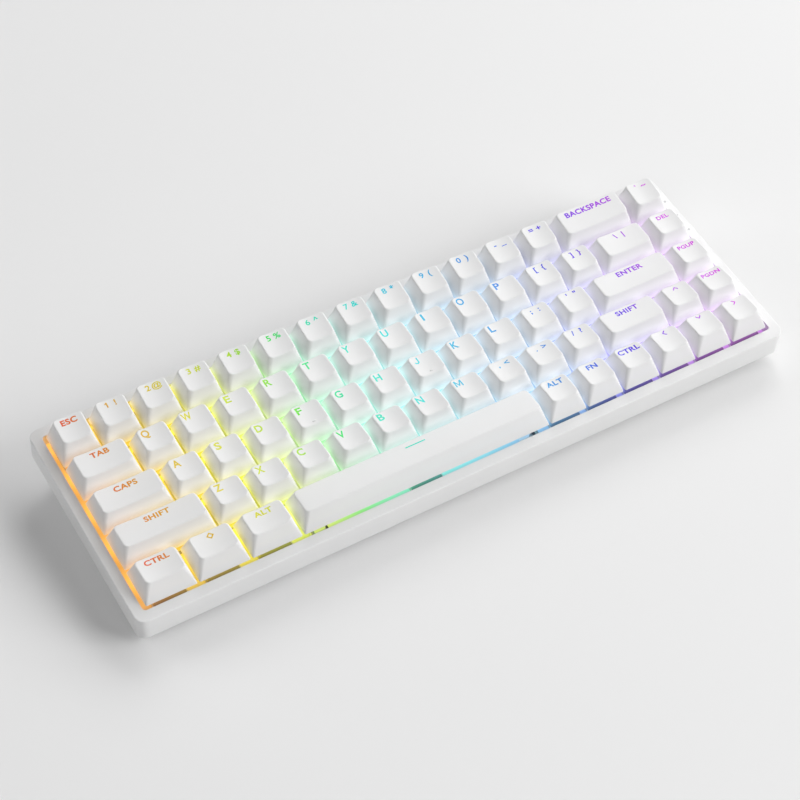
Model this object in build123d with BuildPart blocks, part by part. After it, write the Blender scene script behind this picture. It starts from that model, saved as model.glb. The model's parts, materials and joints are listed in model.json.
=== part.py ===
"""A 65 % mechanical keyboard: 68 keys in a sloping two-part case, with its switches, board and feet."""
from build123d import *
import os
from math import atan2, cos, radians, sin, tan

os.makedirs("parts", exist_ok=True)

# All sizes are in millimetres and degrees. X runs along the key rows to the right, Y to the back, Z up.
# The deck is the plane of the case's rim; it slopes up to the back, and "deck height" is measured
# square to it, with 0 at the rim.

# Key field
key_pitch = 19.05
key_columns = 16
key_rows = 5
key_travel = 4.0
deck_tilt = 6.5
deck_height = 23.0

# Keycaps
cap_gap = 0.95
skirt_foot = 0.6
skirt_corner = 0.7
cap_side_inset = 2.9
cap_front_inset = 4.2
cap_back_inset = 2.3
cap_top_corner = 1.6
cap_wall = 1.4
cap_roof = 1.5
dish_depth = 0.7
# deck height of the top's back and front edge, for the five rows from the back to the front
row_tops = [(12.6, 11.0), (9.9, 10.1), (8.9, 9.3), (8.9, 10.3), (8.7, 9.8)]

# Switches
switch_cutout = 14.0
plate_drop = 6.0
plate_thickness = 1.5
plate_to_board = 5.0
board_thickness = 1.6
flange_size = 15.6
flange_thickness = 1.0
housing_base = 14.8
housing_top = 10.4
housing_rise = 0.6
housing_cavity = 10.5
housing_skin = 1.0
housing_roof = 1.5
stem_length = 7.0
stem_depth = 5.5
stem_height = 5.2
stem_clearance = 0.3
cross_arm = 4.0
cross_thickness = 1.17
cross_height = 3.6
cross_clearance = 0.03
boss_radius = 2.75
boss_gap = 0.3
spring_radius = 2.1
spring_wire = 0.4
spring_coils = 4
spring_clearance = 0.25
post_radius = 1.95
post_length = 2.4
fixed_clearance = 0.05
lamp_offset = 5.1
lamp_window = (5.2, 2.4)
lamp_size = (3.2, 1.6, 0.8)
leaf_size = (3.0, 0.3, 7.4)
leaf_places = [(-3.0, -4.2), (3.0, -4.2)]
leaf_slot = (3.2, 0.5)
leaf_foot = 2.6
socket_size = (10.9, 5.9, 1.8)
socket_offset = -5.0

# Stabilisers of the wide keys
short_reach = 11.94
long_reach = 50.0
stabiliser_size = (7.0, 7.2)
stabiliser_wall = 0.5
stabiliser_rise = 4.4
wire_radius = 0.7
wire_side = 4.3
wire_back = 8.7
wire_height = 1.4
wire_bend = 1.2
wire_grip = 1.1
wire_clearance = 0.3

# Case
side_gap = 1.1
end_gap = 0.7
rim_sides = 4.7
rim_ends = 5.0
wall_height = 12.0
outer_wall = 1.8
lip_wall = 1.2
rim_thickness = 2.0
rim_round = 0.6
case_corner = 4.5
opening_corner = 1.6
tray_clearance = 0.15
tray_wall = 1.8
tray_floor = 1.5
base_side_inset = 7.0
base_end_inset = 5.0
base_floor = 1.8
plate_seat = 0.7
board_gap = 0.4

# Feet, ports and fasteners
foot_pad_height = 1.2
foot_pad_recess = 0.5
foot_pad_corner = 2.0
front_pad = (30.0, 8.0)
back_pad = (30.0, 6.0)
pad_places = [(120.0, -38.0, front_pad), (125.0, 46.0, back_pad)]
flip_foot_x = 115.0
flip_foot_y = 38.0
flip_foot_width = 26.0
flip_foot_length = 14.0
flip_foot_thickness = 3.4
flip_foot_gap = 0.6
flip_foot_recess = 0.2
pocket_wall = 1.5
trunnion_radius = 1.2
trunnion_length = 1.0
running_clearance = 0.05
boss_post_radius = 2.1
screw_radius = 0.75
screw_head_radius = 1.6
screw_head_height = 1.0
screw_length = 6.0
# plate screws: places in key pitches from the left edge and from the front edge of the key field
screw_places = [(2, 4), (8, 4), (13, 4), (3.75, 2), (9.75, 2), (2.25, 1), (8.25, 1), (12.25, 1)]
tab_size = (8.0, 1.0)
tab_reach = 0.75
tab_clearance = 0.15
tab_drop = 10.0
front_tabs = [-110.0, -40.0, 40.0, 110.0]
side_tabs = [-25.0, 25.0]
port_x = -120.0
port_size = (8.94, 7.0, 3.26)
port_shell = 0.3
port_recess = 0.8
port_tongue = (6.7, 5.0, 0.7)
port_clearance = 0.35
mode_x = -100.0
mode_body = (9.0, 3.8, 3.0)
mode_slot = (6.6, 2.6, 1.9)
mode_travel = 2.0
mode_shaft = (2.2, 1.3)
mode_thumb = (3.0, 2.0, 2.0)
mode_clearance = 0.4
battery_size = (60.0, 34.0, 5.5)
battery_place = (-50.0, 25.0)
foam_thickness = 3.0
foam_clearance = 0.3
floor_foam = (185.0, 54.0, 2.5)
floor_foam_place = (-3.0, 17.0)
# chips under the board: (x, deck y, length, depth, height)
chips = [(-62.0, 25.6, 7.0, 7.0, 0.9), (-92.0, 25.6, 13.0, 7.0, 1.8), (52.0, 25.6, 6.0, 5.0, 0.9)]
solder_gap = 0.05
indicator_places = [37.0, 27.3, 17.5]
indicator_radius = 0.6

# Sizes that follow from those above
field_length = key_columns * key_pitch
field_depth = key_rows * key_pitch
opening_length = field_length + 2 * side_gap
opening_depth = field_depth + 2 * end_gap
case_length = opening_length + 2 * rim_sides
case_depth = opening_depth + 2 * rim_ends
tray_length = case_length - 2 * (outer_wall + tray_clearance)
tray_depth = case_depth - 2 * (outer_wall + tray_clearance)
tray_inner_length = tray_length - 2 * tray_wall
tray_inner_depth = tray_depth - 2 * tray_wall
base_length = case_length - 2 * base_side_inset
base_depth = case_depth - 2 * base_end_inset
plate_top = -plate_drop
plate_foot = plate_top - plate_thickness
board_top = plate_top - plate_to_board
board_foot = board_top - board_thickness
tray_foot = board_foot - tray_floor
floor_top = foot_pad_height + base_floor
cavity_floor = board_top + housing_skin
housing_crown = housing_rise
stem_foot = housing_crown - stem_height
cross_crown = housing_crown + cross_height
top_depth = key_pitch - cap_front_inset - cap_back_inset
top_shift = (cap_front_inset - cap_back_inset) / 2
stem_hole = (stem_length + 2 * stem_clearance, stem_depth + 2 * stem_clearance)
hinge_height = foot_pad_height + flip_foot_recess + flip_foot_thickness / 2

# The rows from the back to the front: (node name, width of each key in pitches, number of keys).
# Neighbouring letter and number keys share a node, and press together.
layout = [
    [("key_escape", 1, 1), ("keys_1_to_4", 1, 4), ("keys_5_to_8", 1, 4), ("keys_9_to_equals", 1, 4),
     ("key_backspace", 2, 1), ("key_grave", 1, 1)],
    [("key_tab", 1.5, 1), ("keys_q_to_r", 1, 4), ("keys_t_to_i", 1, 4), ("keys_o_to_bracket", 1, 4),
     ("key_backslash", 1.5, 1), ("key_delete", 1, 1)],
    [("key_caps_lock", 1.75, 1), ("keys_a_to_f", 1, 4), ("keys_g_to_k", 1, 4), ("keys_l_to_quote", 1, 3),
     ("key_enter", 2.25, 1), ("key_page_up", 1, 1)],
    [("key_shift_left", 2.25, 1), ("keys_z_to_v", 1, 4), ("keys_b_to_m", 1, 3),
     ("keys_comma_to_slash", 1, 3), ("key_shift_right", 1.75, 1), ("key_arrow_up", 1, 1),
     ("key_page_down", 1, 1)],
    [("key_control_left", 1.25, 1), ("key_system", 1.25, 1), ("key_alt_left", 1.25, 1),
     ("key_space", 6.25, 1), ("key_alt_right", 1, 1), ("key_function", 1, 1),
     ("key_control_right", 1, 1), ("key_arrow_left", 1, 1), ("key_arrow_down", 1, 1),
     ("key_arrow_right", 1, 1)],
]

deck_centre_y = -wall_height * sin(radians(deck_tilt)) / 2
deck = Plane(
    origin=(0, deck_centre_y, deck_height),
    x_dir=(1, 0, 0),
    z_dir=(0, -sin(radians(deck_tilt)), cos(radians(deck_tilt))),
)


def on_deck(x, y, height=0):
    """A place on the deck: x to the right, y up the slope, height square to the rim plane."""
    return deck.location * Location((x, y, height))


def save(part, name):
    part.label = name
    export_step(part, f"parts/{name}.step")


def reach_of(units):
    """How far a wide key's stabiliser stems stand from its middle, or None on a narrow key."""
    if units < 2:
        return None
    return short_reach if units < 3 else long_reach


key_nodes = []
for row, keys in enumerate(layout):
    left = 0
    row_y = field_depth / 2 - (row + 0.5) * key_pitch
    for name, units, count in keys:
        middles = [(left + (n + 0.5) * units) * key_pitch - field_length / 2 for n in range(count)]
        key_nodes.append((name, row, units, [(x, row_y) for x in middles]))
        left += units * count

switch_places = [place for node in key_nodes for place in node[3]]
wide_keys = [(name, units, places[0]) for name, row, units, places in key_nodes if units >= 2]
stabiliser_places = [
    (x + side * reach_of(units), y, side) for name, units, (x, y) in wide_keys for side in (-1, 1)
]
post_places = [
    (across * key_pitch - field_length / 2, up * key_pitch - field_depth / 2) for across, up in screw_places
]
here = [on_deck(x, y) for x, y in switch_places]


def stem_cross(places, length, thickness, foot, crown, mode=Mode.ADD):
    """The plus-shaped peg of a stem, or the socket for one, at each place."""
    height = crown - foot
    with Locations(*[(x, 0, foot) for x in places]):
        Box(length, thickness, height, align=(Align.CENTER, Align.CENTER, Align.MIN), mode=mode)
        Box(thickness, length, height, align=(Align.CENTER, Align.CENTER, Align.MIN), mode=mode)


def keycap(units, row):
    """One hollow moulded keycap, its base at the skirt and its dished top leaning with its row."""
    back_edge, front_edge = row_tops[row]
    slope = atan2(back_edge - front_edge, top_depth)
    width = units * key_pitch
    top_width = width - 2 * cap_side_inset
    top = Plane(
        origin=(0, top_shift, (back_edge + front_edge) / 2),
        x_dir=(1, 0, 0),
        z_dir=(0, -sin(slope), cos(slope)),
    )
    dished = units < 3
    roof_drop = cap_roof + (dish_depth if dished else 0)
    boss_crown = (back_edge + front_edge) / 2 - top_shift * tan(slope) - roof_drop + cap_roof / 2
    reach = reach_of(units)
    stems = [0] if reach is None else [-reach, 0, reach]
    with BuildPart() as cap:
        with BuildSketch(Plane.XY.offset(skirt_foot)):
            RectangleRounded(width - cap_gap, key_pitch - cap_gap, skirt_corner)
        with BuildSketch(top):
            RectangleRounded(top_width, top_depth / cos(slope), cap_top_corner)
        loft()
        with BuildSketch(Plane.XY.offset(skirt_foot)):
            Rectangle(width - cap_gap - 2 * cap_wall, key_pitch - cap_gap - 2 * cap_wall)
        with BuildSketch(top.offset(-roof_drop)):
            Rectangle(top_width - 2 * cap_wall, top_depth - 2 * cap_wall)
        loft(mode=Mode.SUBTRACT)
        if dished:
            half = top_width / 2
            dish_radius = (half**2 + dish_depth**2) / (2 * dish_depth)
            with Locations(top.location * Location((0, 0, dish_radius - dish_depth), (90, 0, 0))):
                Cylinder(dish_radius, 2 * key_pitch, mode=Mode.SUBTRACT)
        boss_foot = housing_crown + boss_gap
        with Locations(*[(x, 0, boss_foot) for x in stems]):
            Cylinder(boss_radius, boss_crown - boss_foot, align=(Align.CENTER, Align.CENTER, Align.MIN))
        grown = 2 * cross_clearance
        stem_cross(stems, cross_arm + grown, cross_thickness + grown, boss_foot, cross_crown + boss_gap,
                   mode=Mode.SUBTRACT)
    return cap.part


def switch_stem():
    """The sliding stem of one switch: a block with the keycap's peg on top and a bore for the spring."""
    with BuildPart() as stem:
        with BuildSketch(Plane.XY.offset(stem_foot)):
            Rectangle(stem_length, stem_depth)
        extrude(amount=stem_height)
        with BuildSketch(Plane.XY.offset(stem_foot)):
            Circle(spring_radius + spring_clearance)
        extrude(amount=stem_height - housing_roof, mode=Mode.SUBTRACT)
        stem_cross([0], cross_arm, cross_thickness, housing_crown, cross_crown)
    return stem.part


def stabiliser_stem(side):
    """The sliding stem at one end of a wide key, with a window for the wire's end."""
    length = stabiliser_size[0] - 2 * (stabiliser_wall + stem_clearance)
    depth = stabiliser_size[1] - 2 * (stabiliser_wall + stem_clearance)
    window = 2 * (wire_radius + wire_clearance)
    with BuildPart() as stem:
        with BuildSketch(Plane.XY.offset(stem_foot)):
            Rectangle(length, depth)
        extrude(amount=stem_height)
        with Locations((side * length / 2, 0, plate_top + wire_height + key_travel / 2)):
            Box(2 * (wire_side - wire_grip), window + wire_clearance, window, mode=Mode.SUBTRACT)
        stem_cross([0], cross_arm, cross_thickness, housing_crown, cross_crown)
    return stem.part


for name, row, units, places in key_nodes:
    cap = keycap(units, row)
    stem = switch_stem()
    reach = reach_of(units)
    ends = [] if reach is None else [(side, stabiliser_stem(side)) for side in (-1, 1)]
    with BuildPart() as key_node:
        with Locations(*[on_deck(x, y) for x, y in places]):
            add(cap)
            add(stem)
        for side, end in ends:
            with Locations(on_deck(places[0][0] + side * reach, places[0][1])):
                add(end)
    save(key_node.part, name)

# Lower switch housings: the box below the plate, the flange on it and the locating post in the board.
with BuildPart() as lower_unit:
    with BuildSketch(Plane.XY.offset(board_top)):
        Rectangle(switch_cutout - 2 * fixed_clearance, switch_cutout - 2 * fixed_clearance)
    extrude(amount=plate_to_board)
    with BuildSketch(Plane.XY.offset(plate_top)):
        Rectangle(flange_size, flange_size)
    extrude(amount=flange_thickness)
    with BuildSketch(Plane.XY.offset(cavity_floor)):
        Rectangle(housing_cavity, housing_cavity)
    extrude(amount=plate_to_board, mode=Mode.SUBTRACT)
    with BuildSketch(Plane.XY.offset(board_top)):
        with Locations((0, lamp_offset)):
            Rectangle(*lamp_window)
        with Locations(*leaf_places):
            Rectangle(*leaf_slot)
    extrude(amount=plate_to_board + flange_thickness, mode=Mode.SUBTRACT)
    with BuildSketch(Plane.XY.offset(board_top)):
        Circle(post_radius)
    extrude(amount=-post_length)
with BuildPart() as switch_lower_housings:
    with Locations(*here):
        add(lower_unit.part)
save(switch_lower_housings.part, "switch_lower_housings")

# Upper switch housings: tapered covers with the stem's hole and the lamp's window.
upper_foot = plate_top + flange_thickness
upper_height = housing_crown - upper_foot
with BuildPart() as upper_unit:
    with BuildSketch(Plane.XY.offset(upper_foot)):
        Rectangle(housing_base, housing_base)
    with BuildSketch(Plane.XY.offset(housing_crown)):
        Rectangle(housing_top, housing_top)
    loft()
    with BuildSketch(Plane.XY.offset(upper_foot)):
        Rectangle(housing_cavity, housing_cavity)
    extrude(amount=upper_height - housing_roof, mode=Mode.SUBTRACT)
    with BuildSketch(Plane.XY.offset(upper_foot)):
        Rectangle(*stem_hole)
        with Locations((0, lamp_offset)):
            Rectangle(*lamp_window)
    extrude(amount=upper_height, mode=Mode.SUBTRACT)
with BuildPart() as switch_upper_housings:
    with Locations(*here):
        add(upper_unit.part)
save(switch_upper_housings.part, "switch_upper_housings")

# Return springs: rings of wire stacked into a coil, from the housing's floor to the stem's bore.
spring_crown = housing_crown - housing_roof
coil_step = (spring_crown - cavity_floor) / (2 * spring_coils)
outline = []
for n in range(2 * spring_coils + 1):
    bulge = spring_radius if n % 2 else spring_radius - spring_wire
    outline.append((bulge, cavity_floor + n * coil_step))
inside = [(x - 2 * spring_wire, z) for x, z in reversed(outline)]
with BuildPart() as spring_unit:
    with BuildSketch(Plane.XZ):
        with BuildLine():
            Polyline(*outline, *inside, close=True)
        make_face()
    revolve(axis=Axis.Z)
with BuildPart() as switch_springs:
    with Locations(*here):
        add(spring_unit.part)
save(switch_springs.part, "switch_springs")

# Contact leaves: two thin metal strips in each switch, down through the board into its socket.
with BuildPart() as leaf_unit:
    with Locations(*[(x, y, board_top - leaf_foot) for x, y in leaf_places]):
        Box(*leaf_size, align=(Align.CENTER, Align.CENTER, Align.MIN))
with BuildPart() as switch_contacts:
    with Locations(*here):
        add(leaf_unit.part)
save(switch_contacts.part, "switch_contacts")

# Sockets under the board that grip the contact leaves.
with BuildPart() as socket_unit:
    with BuildSketch(Plane.XY.offset(board_foot)):
        with Locations((0, socket_offset)):
            Rectangle(socket_size[0], socket_size[1])
        with Locations(*leaf_places):
            Rectangle(*leaf_slot, mode=Mode.SUBTRACT)
    extrude(amount=-socket_size[2])
with BuildPart() as hot_swap_sockets:
    with Locations(*here):
        add(socket_unit.part)
save(hot_swap_sockets.part, "hot_swap_sockets")

# Lamps on the board, one in the window of each switch.
with BuildPart() as key_lamps:
    with Locations(*[on_deck(x, y + lamp_offset, board_top) for x, y in switch_places]):
        Box(*lamp_size, align=(Align.CENTER, Align.CENTER, Align.MIN))
save(key_lamps.part, "key_lamps")

# Stabiliser housings: open boxes that stand on the board, slotted on their outer side for the wire.
inner_size = (stabiliser_size[0] - 2 * stabiliser_wall, stabiliser_size[1] - 2 * stabiliser_wall)
stabiliser_crown = plate_top + stabiliser_rise
slot_foot = plate_top + wire_height - key_travel / 2 - wire_radius - wire_clearance
slot_width = 2 * (wire_radius + 2 * wire_clearance)
with BuildPart() as stabiliser_housings:
    with BuildSketch(deck.offset(board_top)):
        with Locations(*[(x, y) for x, y, side in stabiliser_places]):
            Rectangle(*stabiliser_size)
    extrude(amount=stabiliser_crown - board_top)
    with BuildSketch(deck.offset(cavity_floor)):
        with Locations(*[(x, y) for x, y, side in stabiliser_places]):
            Rectangle(*inner_size)
    extrude(amount=stabiliser_crown - cavity_floor, mode=Mode.SUBTRACT)
    with BuildSketch(deck.offset(slot_foot)):
        with Locations(*[(x + side * stabiliser_size[0] / 2, y) for x, y, side in stabiliser_places]):
            Rectangle(2 * stabiliser_wall, slot_width)
    extrude(amount=stabiliser_crown - slot_foot, mode=Mode.SUBTRACT)
save(stabiliser_housings.part, "stabiliser_housings")

# Stabiliser wires: each turns in front of its key, and its bent ends sit in the two outer stems.
for name, units, (x, y) in wide_keys:
    reach = reach_of(units)
    arm_x = reach + wire_side
    bar_height = plate_top + wire_height
    grip_height = bar_height + key_travel / 2
    corners = [
        (arm_x - wire_side + wire_grip, 0, grip_height),
        (arm_x, 0, grip_height),
        (arm_x, -wire_back, bar_height),
        (-arm_x, -wire_back, bar_height),
        (-arm_x, 0, grip_height),
        (-arm_x + wire_side - wire_grip, 0, grip_height),
    ]
    with BuildPart() as wire:
        with BuildLine() as route:
            FilletPolyline(*[(on_deck(x + a, y + b, c)).position for a, b, c in corners], radius=wire_bend)
        with BuildSketch(Plane(route.line @ 0, z_dir=route.line % 0)):
            Circle(wire_radius)
        sweep(path=route.line)
    save(wire.part, name.replace("key_", "stabiliser_wire_"))


def cutouts(size, slack):
    """The switch openings of a sheet, and the openings that its stabilisers and their wires need."""
    with Locations(*switch_places):
        Rectangle(size, size, mode=Mode.SUBTRACT)
    front = wire_back - 2 * wire_radius - wire_clearance
    back = stabiliser_size[1] / 2 + slack
    inner = stabiliser_size[0] / 2 + slack
    outer = wire_side + wire_radius + slack
    middles = [(x + side * (outer - inner) / 2, y + (back - front) / 2) for x, y, side in stabiliser_places]
    with Locations(*middles):
        Rectangle(inner + outer, front + back, mode=Mode.SUBTRACT)


# Switch plate: a metal sheet clamped between the tray's wall and the rim's inner lip.
with BuildPart() as switch_plate:
    with BuildSketch(deck.offset(plate_foot)):
        RectangleRounded(
            tray_inner_length + 2 * plate_seat, tray_inner_depth + 2 * plate_seat, opening_corner
        )
        cutouts(switch_cutout, wire_clearance)
        with Locations(*post_places):
            Circle(screw_radius + fixed_clearance, mode=Mode.SUBTRACT)
    extrude(amount=plate_thickness)
save(switch_plate.part, "switch_plate")

# Ports stand in a notch of the foam: x of the notch and its length.
notch_x = (port_x + mode_x) / 2
notch_length = mode_x - port_x + port_size[0] + mode_body[0]
notch_depth = tray_inner_depth / 2 - case_depth / 2 + port_recess + port_size[1] + foam_clearance


def clear_posts(radius, crown, floor):
    """Solid posts at the plate screws, square to the deck, cut off level at the given floor."""
    with BuildPart() as posts:
        with Locations(*[on_deck(x, y, crown) for x, y in post_places]):
            Cylinder(radius, 2 * deck_height, align=(Align.CENTER, Align.CENTER, Align.MAX))
        split(bisect_by=Plane.XY.offset(floor), keep=Keep.TOP)
    return posts.part


# Foam: a cut sheet between plate and board, and a sheet on the floor round the battery.
floor_sheet_posts = clear_posts(boss_post_radius + foam_clearance, board_foot, foot_pad_height)
with BuildPart() as sound_foam:
    with BuildSketch(deck.offset(board_top + foam_clearance)):
        Rectangle(tray_inner_length - 4 * foam_clearance, tray_inner_depth - 4 * foam_clearance)
        cutouts(switch_cutout + 2 * foam_clearance, foam_clearance)
        with Locations(*post_places):
            Circle(boss_post_radius + foam_clearance, mode=Mode.SUBTRACT)
        with Locations((notch_x, tray_inner_depth / 2)):
            Rectangle(notch_length, 2 * notch_depth, mode=Mode.SUBTRACT)
    extrude(amount=foam_thickness)
    with BuildSketch(Plane.XY.offset(floor_top)):
        with Locations(floor_foam_place):
            Rectangle(floor_foam[0], floor_foam[1])
        with Locations(battery_place):
            Rectangle(
                battery_size[0] + 2 * foam_clearance, battery_size[1] + 2 * foam_clearance,
                mode=Mode.SUBTRACT,
            )
    extrude(amount=floor_foam[2])
    add(floor_sheet_posts, mode=Mode.SUBTRACT)
save(sound_foam.part, "sound_foam")

# Circuit board, with its controller, radio module and charger chip soldered underneath.
with BuildPart() as circuit_board:
    with BuildSketch(deck.offset(board_foot)):
        Rectangle(tray_inner_length - 2 * board_gap, tray_inner_depth - 2 * board_gap)
        with Locations(*switch_places):
            Circle(post_radius + fixed_clearance, mode=Mode.SUBTRACT)
        for leaf_x, leaf_y in leaf_places:
            with Locations(*[(x + leaf_x, y + leaf_y) for x, y in switch_places]):
                Rectangle(*leaf_slot, mode=Mode.SUBTRACT)
        with Locations(*post_places):
            Circle(boss_post_radius + foam_clearance, mode=Mode.SUBTRACT)
    extrude(amount=board_thickness)
    for chip_x, chip_y, chip_length, chip_depth, chip_height in chips:
        with Locations(on_deck(chip_x, chip_y, board_foot - solder_gap)):
            Box(chip_length, chip_depth, chip_height, align=(Align.CENTER, Align.CENTER, Align.MAX))
save(circuit_board.part, "circuit_board")


def port_cut(x, length, height, middle):
    """A slot through the back walls of the case."""
    with Locations(on_deck(x, case_depth / 2, middle)):
        Box(length, 4 * (outer_wall + tray_wall), height, mode=Mode.SUBTRACT)


port_middle = board_top + port_size[2] / 2
mode_middle = board_top + mode_body[2] / 2


def back_ports():
    """The slots for the charging port and for the mode switch's thumb."""
    port_cut(port_x, port_size[0] + 2 * port_clearance, port_size[2] + 2 * port_clearance, port_middle)
    thumb_room = mode_thumb[0] + 2 * (mode_travel + mode_clearance)
    port_cut(mode_x, thumb_room, mode_thumb[2] + 2 * mode_clearance, mode_middle)


def snap_tabs(reach, growth, mode):
    """The snap tabs on the inside of the rim's outer wall, or the pockets for them in the tray."""
    length = tab_size[0] + 2 * growth
    height = tab_size[1] + 2 * growth
    end_y = case_depth / 2 - outer_wall
    side_x = case_length / 2 - outer_wall
    with Locations(*[on_deck(x, side * end_y, -tab_drop) for x in front_tabs for side in (-1, 1)]):
        Box(length, 2 * reach, height, mode=mode)
    with Locations(*[on_deck(side * side_x, y, -tab_drop) for y in side_tabs for side in (-1, 1)]):
        Box(2 * reach, length, height, mode=mode)


# Rim frame: the visible upper case, a moulded channel with an outer wall and an inner lip on the plate.
channel_height = wall_height - rim_thickness
with BuildPart() as rim_frame:
    with BuildSketch(deck):
        RectangleRounded(case_length, case_depth, case_corner)
    extrude(amount=-wall_height)
    upper_edges = rim_frame.faces().sort_by(Axis(deck.origin, deck.z_dir))[-1].edges()
    fillet(upper_edges, rim_round)
    with BuildSketch(deck):
        RectangleRounded(opening_length, opening_depth, opening_corner)
    extrude(amount=-wall_height, mode=Mode.SUBTRACT)
    with BuildSketch(deck.offset(-rim_thickness)):
        RectangleRounded(case_length - 2 * outer_wall, case_depth - 2 * outer_wall, case_corner - outer_wall)
        RectangleRounded(
            opening_length + 2 * lip_wall,
            opening_depth + 2 * lip_wall,
            opening_corner + lip_wall,
            mode=Mode.SUBTRACT,
        )
    extrude(amount=-channel_height, mode=Mode.SUBTRACT)
    with BuildSketch(deck.offset(plate_top)):
        Rectangle(case_length - 2 * outer_wall - 2 * tab_reach, case_depth - 2 * outer_wall - 2 * tab_reach)
    extrude(amount=-channel_height, mode=Mode.SUBTRACT)
    snap_tabs(tab_reach, 0, Mode.ADD)
    back_ports()
    indicator_x = (opening_length + 2 * lip_wall + case_length - 2 * outer_wall) / 4
    with Locations(*[on_deck(indicator_x, y) for y in indicator_places]):
        Cylinder(indicator_radius + fixed_clearance, 2 * plate_drop, mode=Mode.SUBTRACT)
save(rim_frame.part, "rim_frame")

# Indicator light pipes: three clear rods in the rim.
with BuildPart() as indicator_pipes:
    with Locations(*[on_deck(indicator_x, y) for y in indicator_places]):
        Cylinder(indicator_radius, plate_drop, align=(Align.CENTER, Align.CENTER, Align.MAX))
save(indicator_pipes.part, "indicator_pipes")


def wedge(length, depth, corner, top, floor):
    """A block under the deck with walls square to it and a level floor."""
    with BuildPart() as block:
        with BuildSketch(deck.offset(top)):
            RectangleRounded(length, depth, corner)
        extrude(amount=-2 * deck_height)
        split(bisect_by=Plane.XY.offset(floor), keep=Keep.TOP)
    return block.part


hollow_length = base_length - 2 * tray_wall
hollow_depth = base_depth - 2 * tray_wall
base_block = wedge(base_length, base_depth, case_corner, tray_foot + tray_floor / 2, foot_pad_height)
base_hollow = wedge(hollow_length, hollow_depth, case_corner - tray_wall, board_foot, floor_top)
base_posts = clear_posts(boss_post_radius, plate_foot, foot_pad_height + base_floor / 2)
pocket_front = flip_foot_y - flip_foot_length - flip_foot_gap
pocket_back = flip_foot_y + flip_foot_thickness / 2 + flip_foot_gap
pocket_middle = (pocket_front + pocket_back) / 2
pocket_depth = pocket_back - pocket_front
pocket_top = hinge_height + flip_foot_thickness / 2 + flip_foot_gap / 2
pocket_places = [(-flip_foot_x, pocket_middle), (flip_foot_x, pocket_middle)]
pocket_width = flip_foot_width + 2 * flip_foot_gap

# Bottom case: the tray that carries plate and board, and the wedge below it that gives the slope.
with BuildPart() as case_bottom:
    with BuildSketch(deck.offset(plate_foot)):
        RectangleRounded(tray_length, tray_depth, case_corner - outer_wall - tray_clearance)
    extrude(amount=tray_foot - plate_foot)
    with BuildSketch(deck.offset(plate_foot)):
        Rectangle(tray_inner_length, tray_inner_depth)
    extrude(amount=board_foot - plate_foot, mode=Mode.SUBTRACT)
    add(base_block)
    add(base_hollow, mode=Mode.SUBTRACT)
    add(base_posts)
    with Locations(*[on_deck(x, y, plate_foot) for x, y in post_places]):
        Cylinder(
            screw_radius, screw_length, align=(Align.CENTER, Align.CENTER, Align.MAX), mode=Mode.SUBTRACT
        )
    with BuildSketch(Plane.XY.offset(foot_pad_height)):
        with Locations(*pocket_places):
            Rectangle(pocket_width + 2 * pocket_wall, pocket_depth + 2 * pocket_wall)
    extrude(amount=pocket_top + pocket_wall - foot_pad_height)
    with BuildSketch(Plane.XY.offset(foot_pad_height)):
        with Locations(*pocket_places):
            Rectangle(pocket_width, pocket_depth)
        for pad_x, pad_y, pad_size in pad_places:
            with Locations((-pad_x, pad_y), (pad_x, pad_y)):
                RectangleRounded(*pad_size, foot_pad_corner)
    extrude(amount=foot_pad_recess, mode=Mode.SUBTRACT)
    with BuildSketch(Plane.XY.offset(foot_pad_height)):
        with Locations(*pocket_places):
            Rectangle(pocket_width, pocket_depth)
    extrude(amount=pocket_top - foot_pad_height, mode=Mode.SUBTRACT)
    pin_room = 2 * (flip_foot_gap + trunnion_length + running_clearance) + flip_foot_width
    hinge_lines = [Location((x, flip_foot_y, hinge_height), (0, 90, 0)) for x in (-flip_foot_x, flip_foot_x)]
    with Locations(*hinge_lines):
        Cylinder(trunnion_radius + running_clearance, pin_room, mode=Mode.SUBTRACT)
    snap_tabs(tab_reach + tab_clearance, tab_clearance, Mode.SUBTRACT)
    back_ports()
save(case_bottom.part, "case_bottom")

# Screws that hold the plate down on the bottom case's posts, with a cross recess in the head.
recess_width = screw_radius / 2
with BuildPart() as plate_screws:
    with Locations(*[on_deck(x, y, plate_top) for x, y in post_places]):
        Cylinder(screw_head_radius, screw_head_height, align=(Align.CENTER, Align.CENTER, Align.MIN))
        shank = plate_thickness + screw_length
        Cylinder(screw_radius, shank, align=(Align.CENTER, Align.CENTER, Align.MAX))
    with Locations(*[on_deck(x, y, plate_top + screw_head_height) for x, y in post_places]):
        Box(2 * screw_radius, recess_width, screw_head_height, mode=Mode.SUBTRACT)
        Box(recess_width, 2 * screw_radius, screw_head_height, mode=Mode.SUBTRACT)
save(plate_screws.part, "plate_screws")

# Flat rechargeable battery on the floor.
with BuildPart() as battery:
    with Locations((*battery_place, floor_top + battery_size[2] / 2)):
        Box(*battery_size)
    fillet(battery.edges().filter_by(Axis.Y), battery_size[2] / 3)
save(battery.part, "battery")

# Charging port: a metal shell round a tongue, open at the back.
port_back = case_depth / 2 - port_recess
with BuildPart() as charging_port:
    with Locations(on_deck(port_x, port_back - port_size[1] / 2, port_middle)):
        Box(*port_size)
    fillet(charging_port.edges().filter_by(Axis(deck.origin, deck.y_dir)), port_size[2] / 2.5)
    with Locations(on_deck(port_x, port_back - port_size[1] / 2 + port_shell, port_middle)):
        Box(port_size[0] - 2 * port_shell, port_size[1], port_size[2] - 2 * port_shell, mode=Mode.SUBTRACT)
    with Locations(on_deck(port_x, port_back - port_size[1] + port_tongue[1] / 2, port_middle)):
        Box(*port_tongue)
save(charging_port.part, "charging_port")

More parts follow.
